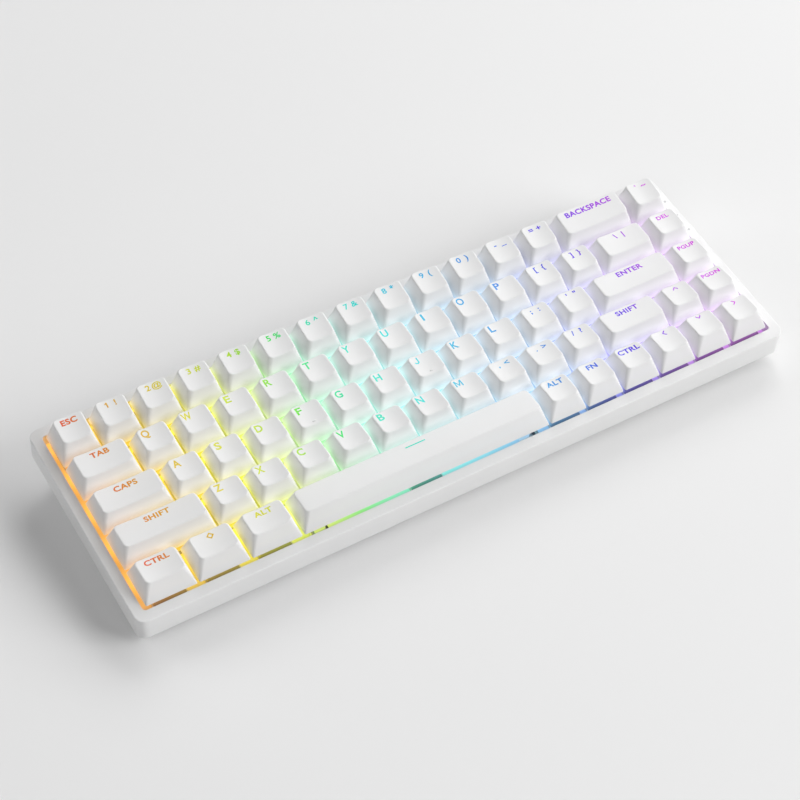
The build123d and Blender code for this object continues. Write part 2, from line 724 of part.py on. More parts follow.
# Mode switch: a small slide switch on the board, worked by a thumb through the back wall.
mode_back = tray_inner_depth / 2 - board_gap
with BuildPart() as mode_switch_body:
    with Locations(on_deck(mode_x, mode_back - mode_body[1] / 2, mode_middle)):
        Box(*mode_body)
    with Locations(on_deck(mode_x, mode_back - mode_slot[1] / 2, mode_middle)):
        Box(*mode_slot, mode=Mode.SUBTRACT)
save(mode_switch_body.part, "mode_switch_body")

shaft_start = mode_back - mode_slot[1] + mode_clearance
thumb_end = case_depth / 2 - mode_clearance
with BuildPart() as mode_switch_thumb:
    with Locations(on_deck(mode_x, (shaft_start + thumb_end) / 2, mode_middle)):
        Box(mode_shaft[0], thumb_end - shaft_start, mode_shaft[1])
    with Locations(on_deck(mode_x, thumb_end - mode_thumb[1] / 2, mode_middle)):
        Box(*mode_thumb)
save(mode_switch_thumb.part, "mode_switch_thumb")

# Rubber pads that the keyboard stands on, glued into shallow recesses.
with BuildPart() as rubber_feet:
    with BuildSketch():
        for pad_x, pad_y, pad_size in pad_places:
            with Locations((-pad_x, pad_y), (pad_x, pad_y)):
                RectangleRounded(*pad_size, foot_pad_corner)
    extrude(amount=foot_pad_height + foot_pad_recess)
save(rubber_feet.part, "rubber_feet")

# Flip feet, folded flat into their pockets; each turns on two stub pins at its back end.
for name, foot_x in (("flip_foot_left", -flip_foot_x), ("flip_foot_right", flip_foot_x)):
    with BuildPart() as flip_foot:
        with BuildSketch(Plane.YZ.offset(foot_x - flip_foot_width / 2)):
            with Locations((flip_foot_y - flip_foot_length / 2, hinge_height)):
                Rectangle(flip_foot_length, flip_foot_thickness)
            with Locations((flip_foot_y, hinge_height)):
                Circle(flip_foot_thickness / 2)
        extrude(amount=flip_foot_width)
        with Locations(Location((foot_x, flip_foot_y, hinge_height), (0, 90, 0))):
            Cylinder(trunnion_radius, flip_foot_width + 2 * (flip_foot_gap + trunnion_length))
    save(flip_foot.part, name)
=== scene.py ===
import json
import math

import bmesh
import bpy
from mathutils import Color, Matrix, Vector


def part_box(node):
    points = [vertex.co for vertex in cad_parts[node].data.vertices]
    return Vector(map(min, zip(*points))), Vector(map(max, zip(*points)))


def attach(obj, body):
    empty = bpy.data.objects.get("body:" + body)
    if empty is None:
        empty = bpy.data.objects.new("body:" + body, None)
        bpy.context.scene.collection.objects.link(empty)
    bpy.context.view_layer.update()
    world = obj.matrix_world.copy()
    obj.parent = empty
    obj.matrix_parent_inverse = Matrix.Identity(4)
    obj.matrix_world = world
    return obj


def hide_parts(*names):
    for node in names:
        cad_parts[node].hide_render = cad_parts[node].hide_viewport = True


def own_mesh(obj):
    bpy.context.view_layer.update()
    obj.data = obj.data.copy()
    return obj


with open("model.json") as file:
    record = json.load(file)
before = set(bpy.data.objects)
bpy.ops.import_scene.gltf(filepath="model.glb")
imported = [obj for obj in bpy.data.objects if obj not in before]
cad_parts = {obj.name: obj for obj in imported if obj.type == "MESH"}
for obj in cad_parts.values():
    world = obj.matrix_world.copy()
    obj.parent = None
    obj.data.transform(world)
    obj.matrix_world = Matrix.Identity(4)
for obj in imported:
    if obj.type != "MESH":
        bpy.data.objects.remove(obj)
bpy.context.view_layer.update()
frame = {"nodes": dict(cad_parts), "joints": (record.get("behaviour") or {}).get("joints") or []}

mm = 0.001


# ---------------------------------------------------------------------------------------------
# Deck. Every row of keys, the plate and the board lie parallel to the rim of the case, which
# slopes up to the back. Places on it are x to the right, v up the slope and h square to the rim.
# ---------------------------------------------------------------------------------------------
key_pitch = 19.05 * mm
key_columns = 16
key_rows = 5
plate_drop = 6.0 * mm
plate_thickness = 1.5 * mm

press_axis = next(j["axis"] for j in frame["joints"] if j["name"] == "key_escape_press")
tilt = math.atan2(press_axis[1], -press_axis[2])
slope_way = Vector((0, math.cos(tilt), math.sin(tilt)))
deck_way = Vector((0, -math.sin(tilt), math.cos(tilt)))
plate_low, plate_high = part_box("switch_plate")
deck_middle = (plate_low + plate_high) / 2 + deck_way * (plate_drop + plate_thickness / 2)


def on_deck(x, v, h):
    """A place on the deck in the shared frame."""
    return deck_middle + Vector((x, 0, 0)) + slope_way * v + deck_way * h


# ---------------------------------------------------------------------------------------------
# Moulded plastic. White ABS and PBT parts come out of a spark-eroded mould with a fine grain,
# a slight drift in tone, and edges that hands polish. The group holds what they all share.
# ---------------------------------------------------------------------------------------------
def shader_group(name, inputs, outputs):
    """An empty shader node group with its sockets, its inner nodes and its ends."""
    group = bpy.data.node_groups.new(name, "ShaderNodeTree")
    for label, kind, default in inputs:
        socket = group.interface.new_socket(name=label, in_out="INPUT", socket_type=kind)
        socket.default_value = default
    for label, kind in outputs:
        group.interface.new_socket(name=label, in_out="OUTPUT", socket_type=kind)
    start = group.nodes.new("NodeGroupInput")
    end = group.nodes.new("NodeGroupOutput")
    return group, start.outputs, end.inputs


def node(tree, kind, links=None, **settings):
    """A new node in a tree. Settings name its own properties, links name its inputs."""
    made = tree.nodes.new(kind)
    for key, value in settings.items():
        setattr(made, key, value)
    for key, value in (links or {}).items():
        if isinstance(value, bpy.types.NodeSocket):
            tree.links.new(value, made.inputs[key])
        else:
            made.inputs[key].default_value = value
    return made


def worked_out(tree, operation, *inputs):
    """The result of a sum on one or two values that change over the surface."""
    return node(tree, "ShaderNodeMath", dict(enumerate(inputs)), operation=operation).outputs[0]


def ranged(tree, value, low, high, new_low=0.0, new_high=1.0):
    """A value stretched from one range to another, and held at its ends."""
    return node(
        tree, "ShaderNodeMapRange",
        {"Value": value, "From Min": low, "From Max": high, "To Min": new_low, "To Max": new_high},
    ).outputs["Result"]


grain_group, take, give = shader_group(
    "moulded_grain",
    [
        ("Colour", "NodeSocketColor", (0.8, 0.8, 0.8, 1)),
        ("Grain Size", "NodeSocketFloat", 4000.0),
        ("Grain Depth", "NodeSocketFloat", 0.2),
        ("Roughness", "NodeSocketFloat", 0.45),
        ("Polish", "NodeSocketFloat", 0.1),
    ],
    [("Color", "NodeSocketColor"), ("Roughness", "NodeSocketFloat"), ("Normal", "NodeSocketVector")],
)
place = node(grain_group, "ShaderNodeTexCoord").outputs["Object"]
drift = node(grain_group, "ShaderNodeTexNoise", {"Vector": place, "Scale": 28.0, "Detail": 3.0})
smears = node(
    grain_group, "ShaderNodeTexNoise", {"Vector": place, "Scale": 130.0, "Detail": 5.0, "Roughness": 0.65},
)
grain = node(
    grain_group, "ShaderNodeTexNoise", {"Vector": place, "Scale": take["Grain Size"], "Detail": 2.0},
)
tone = ranged(grain_group, drift.outputs["Fac"], 0.3, 0.7, 0.975, 1.0)
toned = node(
    grain_group, "ShaderNodeVectorMath", {0: take["Colour"], "Scale": tone}, operation="SCALE",
)
grain_group.links.new(toned.outputs["Vector"], give["Color"])
edges = ranged(grain_group, node(grain_group, "ShaderNodeNewGeometry").outputs["Pointiness"], 0.51, 0.6)
smeared = ranged(grain_group, smears.outputs["Fac"], 0.35, 0.65, -0.05, 0.05)
rough = worked_out(grain_group, "ADD", take["Roughness"], smeared)
worn = worked_out(grain_group, "MULTIPLY", edges, take["Polish"])
grain_group.links.new(worked_out(grain_group, "SUBTRACT", rough, worn), give["Roughness"])
pebbles = node(
    grain_group, "ShaderNodeBump",
    {"Height": grain.outputs["Fac"], "Strength": take["Grain Depth"], "Distance": 0.03 * mm},
)
grain_group.links.new(pebbles.outputs["Normal"], give["Normal"])


def finish_material(name, colour, roughness, grain_size=4000.0, grain_depth=0.2, polish=0.1, **shader):
    """A Principled material with the moulded grain; shader names constants of its own sockets."""
    made = bpy.data.materials.new(name)
    made.use_nodes = True
    tree = made.node_tree
    skin = tree.nodes["Principled BSDF"]
    moulded = node(tree, "ShaderNodeGroup", node_tree=grain_group)
    settings = {
        "Colour": (*colour, 1), "Grain Size": grain_size, "Grain Depth": grain_depth,
        "Roughness": roughness, "Polish": polish,
    }
    for key, value in settings.items():
        moulded.inputs[key].default_value = value
    for given, taken in (("Color", "Base Color"), ("Roughness", "Roughness"), ("Normal", "Normal")):
        tree.links.new(moulded.outputs[given], skin.inputs[taken])
    for key, value in shader.items():
        skin.inputs[key.replace("_", " ")].default_value = value
    return made


def dress(name, material):
    """Gives a CAD piece its finish."""
    slots = frame["nodes"][name].data.materials
    slots.clear()
    slots.append(material)


# ---------------------------------------------------------------------------------------------
# Backlight, painted. One lamp under each switch shines up round it. The lamps are set to a slow
# rainbow from the left end to the right, and each is brightest just behind its key's middle. This
# group paints that light as glow onto the plate, switch covers, cap skirts and legends.
# ---------------------------------------------------------------------------------------------
lamp_offset = 7.5 * mm
light_saturation = 0.96
light_value = 0.95
# how far in from the front edge the painted light starts and is full; nearer the front it is painted shade
front_shade = (1.6 * mm, 5.2 * mm)
# share of the field's length from its left end where the light starts to pale, and is palest;
# its share of the paling before that; and the white it pales towards
pale_from = (0.2, 0.38)
least_pale = 0.1
pale_light = (0.9, 1, 1, 1)
# share of the field's length from its middle, hue of the painted light in the letters there and of the bare
# painted light
rainbow = [
    (-0.50, 14, 39), (-0.47, 24, 40), (-0.43, 42, 48), (-0.39, 48, 50), (-0.345, 55, 54), (-0.305, 61, 59),
    (-0.25, 68, 64), (-0.22, 74, 66), (-0.17, 128, 100), (-0.14, 152, 152), (-0.095, 170, 167),
    (-0.05, 175, 175), (0.0, 181, 183), (0.035, 189, 188), (0.08, 193, 196), (0.13, 199, 199),
    (0.16, 203, 201), (0.19, 207, 205), (0.23, 220, 227), (0.28, 254, 260), (0.31, 263, 270),
    (0.365, 278, 284), (0.41, 286, 290), (0.47, 296, 293), (0.50, 300, 293),
]
field_length = key_columns * key_pitch
field_depth = key_rows * key_pitch

painted_light_group, take, give = shader_group(
    "painted_backlight",
    [
        ("Foot", "NodeSocketFloat", -0.006),
        ("Reach", "NodeSocketFloat", 0.004),
    ],
    [
        ("Letter Backlight Hue", "NodeSocketColor"),
        ("Light Hue", "NodeSocketColor"),
        ("Lamp Mask", "NodeSocketFloat"),
        ("Height Mask", "NodeSocketFloat"),
        ("Inside Mask", "NodeSocketFloat"),
        ("Pale Mask", "NodeSocketFloat"),
    ],
)
place = node(painted_light_group, "ShaderNodeTexCoord").outputs["Object"]
shifted = node(painted_light_group, "ShaderNodeVectorMath", {0: place, 1: deck_middle}, operation="SUBTRACT")
deck_x, deck_v, deck_h = (
    node(
        painted_light_group, "ShaderNodeVectorMath", {0: shifted.outputs[0], 1: way}, operation="DOT_PRODUCT",
    ).outputs["Value"]
    for way in ((1, 0, 0), slope_way, deck_way)
)
along = ranged(painted_light_group, deck_x, -field_length / 2, field_length / 2)
for column, label in ((1, "Letter Backlight Hue"), (2, "Light Hue")):
    hues = node(painted_light_group, "ShaderNodeValToRGB", {"Fac": along})
    stops = hues.color_ramp.elements
    for count, place_and_hues in enumerate(rainbow):
        stop = stops[count] if count < 2 else stops.new(1)
        stop.position = place_and_hues[0] + 0.5
        hue = Color()
        hue.hsv = (place_and_hues[column] / 360, light_saturation, light_value)
        stop.color = (*hue.from_srgb_to_scene_linear(), 1)
    painted_light_group.links.new(hues.outputs["Color"], give[label])
past_lamp = worked_out(painted_light_group, "SUBTRACT", deck_v, lamp_offset)
phase = worked_out(painted_light_group, "MULTIPLY", past_lamp, 2 * math.pi / key_pitch)
wave = worked_out(painted_light_group, "COSINE", phase)
rise = worked_out(painted_light_group, "SUBTRACT", deck_h, take["Foot"])
fade = worked_out(painted_light_group, "MAXIMUM", worked_out(painted_light_group, "DIVIDE", rise, take["Reach"]), 0.0)
front_edge = -field_depth / 2
masks = {
    "Lamp Mask": ranged(painted_light_group, wave, -1.0, 1.0),
    "Height Mask": worked_out(painted_light_group, "EXPONENT", worked_out(painted_light_group, "MULTIPLY", fade, -1.0)),
    "Inside Mask": ranged(painted_light_group, deck_v, front_edge + front_shade[0], front_edge + front_shade[1]),
    "Pale Mask": ranged(painted_light_group, along, *pale_from, least_pale, 1.0),
}
for label, mask in masks.items():
    painted_light_group.links.new(mask, give[label])


def paint_backlight(material, strength, foot, reach, whiten=0.0, dim=0.35, front=0.0):
    """Paints the rainbow light onto a material as glow: brightest at its foot, fading out over its reach,
    with painted shade at the front.
    """
    tree = material.node_tree
    skin = tree.nodes["Principled BSDF"]
    glow = node(tree, "ShaderNodeGroup", node_tree=painted_light_group)
    glow.inputs["Foot"].default_value = foot
    glow.inputs["Reach"].default_value = reach
    level = ranged(tree, glow.outputs["Lamp Mask"], 0.0, 1.0, dim, 1.0)
    amount = worked_out(tree, "MULTIPLY", level, glow.outputs["Height Mask"])
    shade = ranged(tree, glow.outputs["Inside Mask"], 0.0, 1.0, front, 1.0)
    amount = worked_out(tree, "MULTIPLY", amount, shade)
    paling = worked_out(tree, "MULTIPLY", glow.outputs["Pale Mask"], glow.outputs["Inside Mask"])
    paling = worked_out(tree, "MULTIPLY", paling, whiten)
    pale = node(
        tree, "ShaderNodeMixRGB",
        {"Fac": paling, "Color1": glow.outputs["Light Hue"], "Color2": pale_light},
    )
    shown = node(
        tree, "ShaderNodeVectorMath", {0: pale.outputs["Color"], "Scale": amount}, operation="SCALE",
    )
    tree.links.new(shown.outputs["Vector"], skin.inputs["Emission Color"])
    skin.inputs["Emission Strength"].default_value = strength


# ---------------------------------------------------------------------------------------------
# Case. The rim and its outer walls are one shell of satin white ABS, moulded with a rounded
# edge all round. The tray and its wedge base are the second shell, snapped in from below.
# ---------------------------------------------------------------------------------------------
case_white = finish_material(
    "case_white", (0.80, 0.80, 0.80), 0.42, grain_depth=0.12, Specular_IOR_Level=0.4,
)
dress("rim_frame", case_white)
dress("case_bottom", case_white)

# ---------------------------------------------------------------------------------------------
# Indicators. Three smoked acrylic light pipes are pressed into holes in the right rim, for
# capitals, charge and radio. They are unlit, so they show as grey dots.
# ---------------------------------------------------------------------------------------------
indicator_smoke = finish_material(
    "indicator_smoke", (0.46, 0.46, 0.47), 0.12, grain_size=900.0, grain_depth=0.03, Coat_Weight=0.5,
)
dress("indicator_pipes", indicator_smoke)

# ---------------------------------------------------------------------------------------------
# Plate. A sheet of powder-coated steel carries the switches; its white coat spreads the light
# of the lamps under the keys, and that light is painted on it as a rainbow glow, with painted
# shade along the front edge. Its screws are bright zinc-plated steel.
# ---------------------------------------------------------------------------------------------
plate_white = finish_material("plate_white", (0.42, 0.42, 0.42), 0.5, grain_size=2500.0, grain_depth=0.5)
# painted backlight: the plate glows in the lamps' rainbow, in pools behind each key, with painted shade near
# the front
paint_backlight(plate_white, 1.15, -plate_drop, 30 * mm, whiten=0.36, dim=0.6, front=0.27)
dress("switch_plate", plate_white)

spring_steel = finish_material(
    "spring_steel", (0.56, 0.55, 0.53), 0.28, grain_size=6000.0, grain_depth=0.1, Metallic=1.0,
)
dress("plate_screws", spring_steel)

# ---------------------------------------------------------------------------------------------
# Switches. Each is a white nylon base clipped in the plate and a smoked polycarbonate cover
# with a window over the lamp, with copper leaves and a black socket on the board below.
# ---------------------------------------------------------------------------------------------
housing_white = finish_material("housing_white", (0.72, 0.72, 0.71), 0.4)
housing_smoked = finish_material("housing_smoked", (0.20, 0.20, 0.21), 0.25, grain_depth=0.05, IOR=1.58)
# painted backlight: the smoked covers glow in the lamps' rainbow as painted light
paint_backlight(housing_smoked, 1.2, -plate_drop, 30 * mm, whiten=0.5, dim=0.6)
contact_copper = finish_material(
    "contact_copper", (0.80, 0.42, 0.24), 0.25, grain_size=5000.0, grain_depth=0.1, Metallic=1.0,
)
socket_black = finish_material("socket_black", (0.02, 0.02, 0.02), 0.5)
dress("switch_lower_housings", housing_white)
dress("switch_upper_housings", housing_smoked)
dress("switch_contacts", contact_copper)
dress("hot_swap_sockets", socket_black)

# ---------------------------------------------------------------------------------------------
# Board, foam and lamps. A white solder-masked board carries a lamp at each switch, and a grey
# foam pad fills the gap to the plate. The battery is a foil pouch taped in the tray.
# ---------------------------------------------------------------------------------------------
board_white = finish_material("board_white", (0.70, 0.71, 0.70), 0.35, grain_size=1500.0, grain_depth=0.3)
foam_grey = finish_material("foam_grey", (0.10, 0.10, 0.11), 0.9, grain_size=1200.0, grain_depth=1.0)
battery_foil = finish_material(
    "battery_foil", (0.62, 0.63, 0.65), 0.3, grain_size=700.0, grain_depth=0.6, Metallic=0.8,
)
lamp_glow = finish_material("lamp_glow", (0.80, 0.80, 0.75), 0.3)
paint_backlight(lamp_glow, 3.0, -20 * mm, 60 * mm, whiten=0.4)
dress("circuit_board", board_white)
dress("sound_foam", foam_grey)
dress("battery", battery_foil)
dress("key_lamps", lamp_glow)

# ---------------------------------------------------------------------------------------------
# Stabilisers. The four widest keys have a dark nylon housing under each end and a bent steel
# wire between them, which turns as the key goes down and keeps it level.
# ---------------------------------------------------------------------------------------------
# the stabiliser housings share the covers' finish, so they carry the same painted glow
dress("stabiliser_housings", housing_smoked)
for wide in ("space", "backspace", "enter", "shift_left"):
    dress("stabiliser_wire_" + wide, spring_steel)

# ---------------------------------------------------------------------------------------------
# Back wall. The charging socket is a drawn steel shell with a black tongue, and the mode switch
# a black slider in a moulded body, both soldered to the board's back edge.
# ---------------------------------------------------------------------------------------------
port_steel = finish_material(
    "port_steel", (0.60, 0.60, 0.61), 0.22, grain_size=3000.0, grain_depth=0.1, Metallic=1.0,
)
dress("charging_port", port_steel)
dress("mode_switch_body", socket_black)
dress("mode_switch_thumb", socket_black)

# ---------------------------------------------------------------------------------------------
# Feet. Four black rubber pads are glued in shallow recesses under the base. The two flip feet
# are white ABS, and turn on trunnions snapped into pockets at the back.
# ---------------------------------------------------------------------------------------------
pad_rubber = finish_material("pad_rubber", (0.03, 0.03, 0.032), 0.75, grain_size=1800.0, grain_depth=0.8)
dress("rubber_feet", pad_rubber)
dress("flip_foot_left", case_white)
dress("flip_foot_right", case_white)

# ---------------------------------------------------------------------------------------------
# Keycaps. Each is a hollow white PBT moulding with tapered sides, edges rounded by tumbling and
# a top dished from side to side; only the space bar is flat. A socket under it grips the stem.
# ---------------------------------------------------------------------------------------------
cap_gap = 0.95 * mm
skirt_foot = 0.6 * mm
skirt_corner = 0.7 * mm
cap_side_inset = 2.9 * mm
cap_front_inset = 4.2 * mm
cap_back_inset = 2.3 * mm
cap_top_corner = 2.2 * mm
cap_edge_round = 0.8 * mm
cap_wall = 1.4 * mm
cap_roof = 1.5 * mm
dish_depth = 0.7 * mm
bar_place = 2.0 * mm
# height of the top's back and front edge, for the five rows from the back to the front
row_tops = [(12.6, 11.0), (9.9, 10.1), (8.9, 9.3), (8.9, 10.3), (8.7, 9.8)]
# rings of the mesh: shares of the way up the skirt, steps round the edge, shares of the way out
# from the top's middle; and points round each ring's corners and along its sides
skirt_shares = (0.0, 0.02, 0.15, 0.35, 0.6, 0.85, 0.97, 1.0)
edge_steps = 6
top_shares = (0.97, 0.85, 0.65, 0.42, 0.2)
corner_steps = 6
side_steps = 10

top_depth = key_pitch - cap_front_inset - cap_back_inset
top_shift = (cap_front_inset - cap_back_inset) / 2

# The rows from the back to the front: node of the key or group of keys, width in pitches, and
# what each key is marked with.
rows = [
    [
        ("key_escape", 1, ["ESC"]),
        ("keys_1_to_4", 1, ["1 !", "2 @", "3 #", "4 $"]),
        ("keys_5_to_8", 1, ["5 %", "6 ^", "7 &", "8 *"]),
        ("keys_9_to_equals", 1, ["9 (", "0 )", "- _", "= +"]),
        ("key_backspace", 2, ["BACKSPACE"]),
        ("key_grave", 1, ["` ~"]),
    ],
    [
        ("key_tab", 1.5, ["TAB"]),
        ("keys_q_to_r", 1, ["Q", "W", "E", "R"]),
        ("keys_t_to_i", 1, ["T", "Y", "U", "I"]),
        ("keys_o_to_bracket", 1, ["O", "P", "[ {", "] }"]),
        ("key_backslash", 1.5, ["\\ |"]),
        ("key_delete", 1, ["DEL"]),
    ],
    [
        ("key_caps_lock", 1.75, ["CAPS"]),
        ("keys_a_to_f", 1, ["A", "S", "D", "F"]),
        ("keys_g_to_k", 1, ["G", "H", "J", "K"]),
        ("keys_l_to_quote", 1, ["L", "; :", "' \""]),
        ("key_enter", 2.25, ["ENTER"]),
        ("key_page_up", 1, ["PGUP"]),
    ],
    [
        ("key_shift_left", 2.25, ["SHIFT"]),
        ("keys_z_to_v", 1, ["Z", "X", "C", "V"]),
        ("keys_b_to_m", 1, ["B", "N", "M"]),
        ("keys_comma_to_slash", 1, [", <", ". >", "/ ?"]),
        ("key_shift_right", 1.75, ["SHIFT"]),
        ("key_arrow_up", 1, ["^"]),
        ("key_page_down", 1, ["PGDN"]),
    ],
    [
        ("key_control_left", 1.25, ["CTRL"]),
        ("key_system", 1.25, ["<>"]),
        ("key_alt_left", 1.25, ["ALT"]),
        ("key_space", 6.25, ["SPACE"]),
        ("key_alt_right", 1, ["ALT"]),
        ("key_function", 1, ["FN"]),
        ("key_control_right", 1, ["CTRL"]),
        ("key_arrow_left", 1, ["<"]),
        ("key_arrow_down", 1, ["v"]),
        ("key_arrow_right", 1, [">"]),
    ],
]


class Key:
    """One key's cap: where it stands on the deck, how wide it is and how its top runs."""

    def __init__(self, node_name, row, units, mark, x):
        self.node_name = node_name
        self.units = units
        self.mark = mark
        self.x = x
        self.v = (key_rows / 2 - row - 0.5) * key_pitch
        self.back_height, self.front_height = (edge * mm for edge in row_tops[row])
        self.half_foot = units * key_pitch / 2 - cap_gap / 2
        self.half_top = units * key_pitch / 2 - cap_side_inset
        self.dish = dish_depth if units < 3 else 0.0

    def plane(self, v):
        """Height of the top's plane, before the dish, v from the key's middle."""
        share = (v - top_shift) / top_depth + 0.5
        return self.front_height + (self.back_height - self.front_height) * share

    def surface(self, x, v):
        """Height of the finished top, x and v from the key's middle."""
        across = min(1.0, abs(x) / self.half_top)
        return self.plane(v) - self.dish * (1 - across**2)

    def point(self, x, v, h):
        return on_deck(self.x + x, self.v + v, h)


keys = []
for row, members in enumerate(rows):
    left = -field_length / 2
    for node_name, units, marks in members:
        for mark in marks:
            keys.append(Key(node_name, row, units, mark, left + units * key_pitch / 2))
            left += units * key_pitch


def rounded_outline(half_x, half_v, corner, middle_v=0.0):
    """Points round a rectangle with round corners, as (x, v), always the same number of them."""
    points = []
    quarters = [(1, 1), (-1, 1), (-1, -1), (1, -1)]
    for turn, (side_x, side_v) in enumerate(quarters):
        centre_x = side_x * (half_x - corner)
        centre_v = side_v * (half_v - corner)
        for step in range(corner_steps + 1):
            angle = (turn + step / corner_steps) * math.pi / 2
            points.append((
                centre_x + corner * math.cos(angle), middle_v + centre_v + corner * math.sin(angle),
            ))
        next_x, next_v = quarters[(turn + 1) % 4]
        angle = (turn + 1) * math.pi / 2
        end_x = next_x * (half_x - corner) + corner * math.cos(angle)
        end_v = middle_v + next_v * (half_v - corner) + corner * math.sin(angle)
        start_x, start_v = points[-1]
        for step in range(1, side_steps):
            share = step / side_steps
            points.append((start_x + (end_x - start_x) * share, start_v + (end_v - start_v) * share))
    return points


def bridge(mesh, rings):
    """Faces between each ring of vertices and the next."""
    for lower, upper in zip(rings, rings[1:]):
        for n in range(len(lower)):
            m = (n + 1) % len(lower)
            mesh.faces.new((lower[n], lower[m], upper[m], upper[n]))


def add_cap(mesh, key):
    """The hollow cap: its skirt, its rounded edge, its dished top and the hollow under it."""
    half_depth = (key_pitch - cap_gap) / 2
    foot = rounded_outline(key.half_foot, half_depth, skirt_corner)
    lean = math.atan2(key.half_foot - key.half_top, key.back_height - skirt_foot)
    edge = rounded_outline(key.half_top, top_depth / 2, cap_top_corner, top_shift)
    drop = cap_edge_round * (1 - math.sin(lean))
    rings = []
    for share in skirt_shares:
        ring = []
        for (foot_x, foot_v), (edge_x, edge_v) in zip(foot, edge):
            top = key.surface(edge_x, edge_v) - drop
            ring.append(mesh.verts.new(key.point(
                foot_x + (edge_x - foot_x) * share,
                foot_v + (edge_v - foot_v) * share,
                skirt_foot + (top - skirt_foot) * share,
            )))
        rings.append(ring)
    for step in range(1, edge_steps + 1):
        angle = lean + (math.pi / 2 - lean) * step / edge_steps
        inset = cap_edge_round * (math.cos(lean) - math.cos(angle))
        outline = rounded_outline(
            key.half_top - inset, top_depth / 2 - inset, cap_top_corner - inset, top_shift,
        )
        rings.append([
            mesh.verts.new(key.point(x, v, key.surface(x, v) - cap_edge_round * (1 - math.sin(angle))))
            for x, v in outline
        ])
    for share in top_shares:
        rings.append([
            mesh.verts.new(key.point(
                x * share, top_shift + (v - top_shift) * share,
                key.surface(x * share, top_shift + (v - top_shift) * share),
            ))
            for x, v in outline
        ])
    bridge(mesh, rings)
    centre = mesh.verts.new(key.point(0, top_shift, key.surface(0, top_shift)))
    last = rings[-1]
    for n in range(len(last)):
        mesh.faces.new((last[n], last[(n + 1) % len(last)], centre))
    roof_drop = cap_roof + key.dish
    inner_foot = rounded_outline(key.half_foot - cap_wall, half_depth - cap_wall, skirt_corner / 2)
    inner_top = rounded_outline(
        key.half_top - cap_wall, top_depth / 2 - cap_wall, skirt_corner / 2, top_shift,
    )
    inner = [
        [mesh.verts.new(key.point(x, v, skirt_foot)) for x, v in inner_foot],
        [mesh.verts.new(key.point(x, v, key.plane(v) - roof_drop)) for x, v in inner_top],
    ]
    bridge(mesh, [inner[1], inner[0], rings[0]])
    mesh.faces.new(reversed(inner[1]))


def add_homing_bar(mesh, key):
    """The small raised bar near the front of the two keys that the forefingers rest on."""
    half_x, half_v, rise = 0.8 * mm, 0.35 * mm, 0.3 * mm
    middle_v = top_shift - top_depth / 2 + bar_place
    rings = []
    for inset, height in ((0.0, -0.1 * mm), (0.0, 0.45 * rise), (0.1 * mm, 0.8 * rise), (0.25 * mm, rise)):
        outline = rounded_outline(half_x - inset, half_v - inset, half_v - inset, middle_v)
        rings.append([mesh.verts.new(key.point(x, v, key.surface(x, v) + height)) for x, v in outline])
    bridge(mesh, rings)
    mesh.faces.new(rings[-1])
    mesh.faces.new(reversed(rings[0]))


def finished_piece(name, mesh, material, body):
    """Turns built mesh data into a smooth piece that rides on its body."""
    bmesh.ops.remove_doubles(mesh, verts=mesh.verts, dist=1e-7)
    bmesh.ops.recalc_face_normals(mesh, faces=mesh.faces)
    data = bpy.data.meshes.new(name)
    mesh.to_mesh(data)
    mesh.free()
    data.shade_smooth()
    data.set_sharp_from_angle(angle=math.radians(35))
    data.materials.append(material)
    piece = bpy.data.objects.new(name, data)
    bpy.context.scene.collection.objects.link(piece)
    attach(piece, body)
    return piece


keycap_white = finish_material(
    "keycap_white", (0.79, 0.79, 0.79), 0.45, grain_size=3500.0, grain_depth=0.22, Specular_IOR_Level=0.4,
)
# painted backlight: the lower skirt of each cap glows in the lamps' rainbow, fading up from its foot
paint_backlight(keycap_white, 0.52, skirt_foot, 2.6 * mm, whiten=0.56)

keys_of = {}
for key in keys:
    keys_of.setdefault(key.node_name, []).append(key)
for node_name, members in keys_of.items():
    shell = bmesh.new()
    for key in members:
        add_cap(shell, key)
        if key.mark in ("F", "J"):
            add_homing_bar(shell, key)
    cap = finished_piece("cap_of_" + node_name, shell, keycap_white, node_name)
    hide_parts(node_name)

# ---------------------------------------------------------------------------------------------
# Stems. A sliding block of white POM stands in each switch, with a cross on top that the cap's
# socket grips. Caps of two pitches and more have one more at each end, in the stabilisers.
# ---------------------------------------------------------------------------------------------
stem_length = 7.0 * mm
stem_depth = 5.5 * mm
stem_foot = -4.6 * mm
stem_crown = 0.6 * mm
cross_arm = 4.0 * mm
cross_thickness = 1.17 * mm
cross_crown = 4.2 * mm
socket_radius = 2.75 * mm
socket_wall = 0.6 * mm
socket_roof = 0.4 * mm
socket_foot = 0.9 * mm
socket_sink = 0.2 * mm
side_stem_share = 0.8
stem_corner = 0.5 * mm
stem_chamfer = 0.2 * mm
short_reach = 11.94 * mm
long_reach = 50.0 * mm


def add_prism(mesh, key, x, outline, foot, crown):
    """A closed prism on the deck with small chamfers round both ends."""
    levels = [
        (-stem_chamfer, foot), (0.0, foot + stem_chamfer),
        (0.0, crown - stem_chamfer), (-stem_chamfer, crown),
    ]
    rings = []
    for grow, height in levels:
        ring = []
        for px, pv in outline:
            reach = math.hypot(px, pv)
            scale = (reach + grow) / reach
            ring.append(mesh.verts.new(key.point(x + px * scale, pv * scale, height)))
        rings.append(ring)
    bridge(mesh, rings)
    mesh.faces.new(rings[-1])
    mesh.faces.new(reversed(rings[0]))


def cross_outline(arm, thickness):
    """The plus-shaped section of the cross."""
    a, t = arm / 2, thickness / 2
    return [
        (a, t), (t, t), (t, a), (-t, a), (-t, t), (-a, t),
        (-a, -t), (-t, -t), (-t, -a), (t, -a), (t, -t), (a, -t),
    ]


def ring_outline(radius, steps=32):
    """Points round a circle."""
    return [
        (radius * math.cos(2 * math.pi * n / steps), radius * math.sin(2 * math.pi * n / steps))
        for n in range(steps)
    ]


